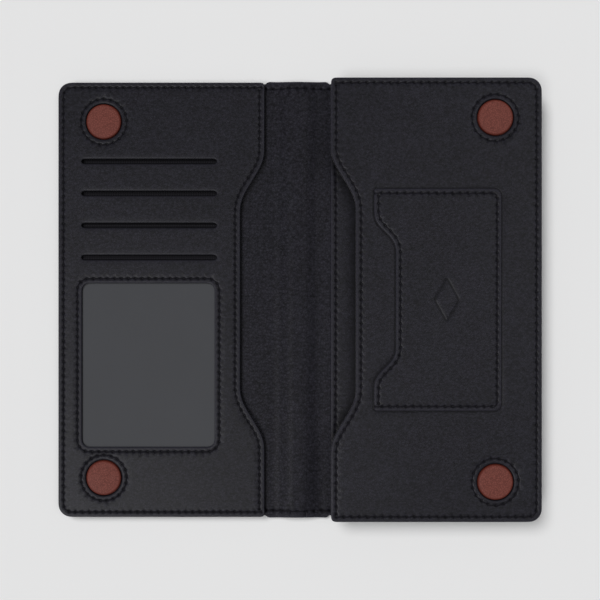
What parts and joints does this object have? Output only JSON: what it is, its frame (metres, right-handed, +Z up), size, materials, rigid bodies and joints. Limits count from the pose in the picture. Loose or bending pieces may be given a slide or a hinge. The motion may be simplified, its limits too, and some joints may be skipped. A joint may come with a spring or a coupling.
{
  "type": "phone wallet case",
  "caption": "Leather bifold wallet lying open: a leaf with card slots and an ID window, a soft folding spine, and a padded phone sleeve with a patch pocket and magnetic snaps.",
  "frame": {"origin": "under the middle of the spine, on the flat surface that the open wallet lies on", "axes": "+X across the open wallet from the card leaf to the phone sleeve, +Y along the spine towards the end with the card slots, +Z up out of the open wallet"},
  "size_m": [0.2, 0.1818, 0.0144],
  "materials": {
    "black_leather": "fine grained, semi matt, painted edges",
    "grained_lining": "embossed grain, matt",
    "suede": "brushed microfibre",
    "stiffener_board": "plain board",
    "pocket_fabric": "plain weave",
    "thread": "twisted polyester",
    "tan_leather": "smooth, waxed",
    "magnet": "nickel plated",
    "window_film": "cloudy film"
  },
  "bodies": {
    "phone_leaf": {"phone_leaf_cover": "black_leather", "phone_leaf_board": "stiffener_board", "phone_leaf_lining": "grained_lining", "thread_phone_leaf_cover": "thread", "sleeve_back": "black_leather", "sleeve_gusset": "black_leather", "sleeve_lining": "suede", "sleeve_board": "stiffener_board", "sleeve_front": "black_leather", "patch_pocket": "black_leather", "thread_sleeve_perimeter": "thread", "thread_sleeve_mouth": "thread", "thread_sleeve_back": "thread", "thread_patch_perimeter": "thread", "thread_patch_mouth": "thread", "magnet_right_top": "magnet", "snap_disc_right_top": "tan_leather", "thread_ring_right_top": "thread", "magnet_right_bottom": "magnet", "snap_disc_right_bottom": "tan_leather", "thread_ring_right_bottom": "thread"},
    "spine_right_half": {"spine_right_cover": "black_leather", "spine_right_lining": "grained_lining", "thread_spine_right_top": "thread", "thread_spine_right_bottom": "thread"},
    "spine_left_half": {"spine_left_cover": "black_leather", "spine_left_lining": "grained_lining", "thread_spine_left_top": "thread", "thread_spine_left_bottom": "thread"},
    "card_leaf": {"card_leaf_cover": "black_leather", "card_leaf_board": "stiffener_board", "card_leaf_lining": "grained_lining", "thread_card_leaf_cover": "thread", "card_backing": "suede", "card_ply_1": "pocket_fabric", "card_ply_2": "pocket_fabric", "card_ply_3": "pocket_fabric", "card_ply_4": "pocket_fabric", "id_window": "window_film", "card_panel": "black_leather", "thread_card_perimeter": "thread", "thread_card_mouth": "thread", "thread_window": "thread", "magnet_left_top": "magnet", "snap_disc_left_top": "tan_leather", "thread_ring_left_top": "thread", "magnet_left_bottom": "magnet", "snap_disc_left_bottom": "tan_leather", "thread_ring_left_bottom": "thread"}
  },
  "joints": [
    {"name": "phone_leaf_crease", "type": "hinge", "parent": "phone_leaf", "child": "spine_right_half", "pos_m": [0.00778, 0, 0.00155], "axis": [0, 1, 0], "range_deg": [0, 71.51]},
    {"name": "spine_ridge", "type": "hinge", "parent": "spine_right_half", "child": "spine_left_half", "pos_m": [0, 0, 0.00415], "axis": [0, 1, 0], "range_deg": [0, 36.97]},
    {"name": "card_leaf_crease", "type": "hinge", "parent": "spine_left_half", "child": "card_leaf", "pos_m": [-0.00778, 0, 0.00155], "axis": [0, 1, 0], "range_deg": [0, 71.51]}
  ],
  "couplings": [
    {"joint": "spine_ridge", "follows": "phone_leaf_crease", "ratio": 0.51699},
    {"joint": "card_leaf_crease", "follows": "phone_leaf_crease", "ratio": 1}
  ]
}
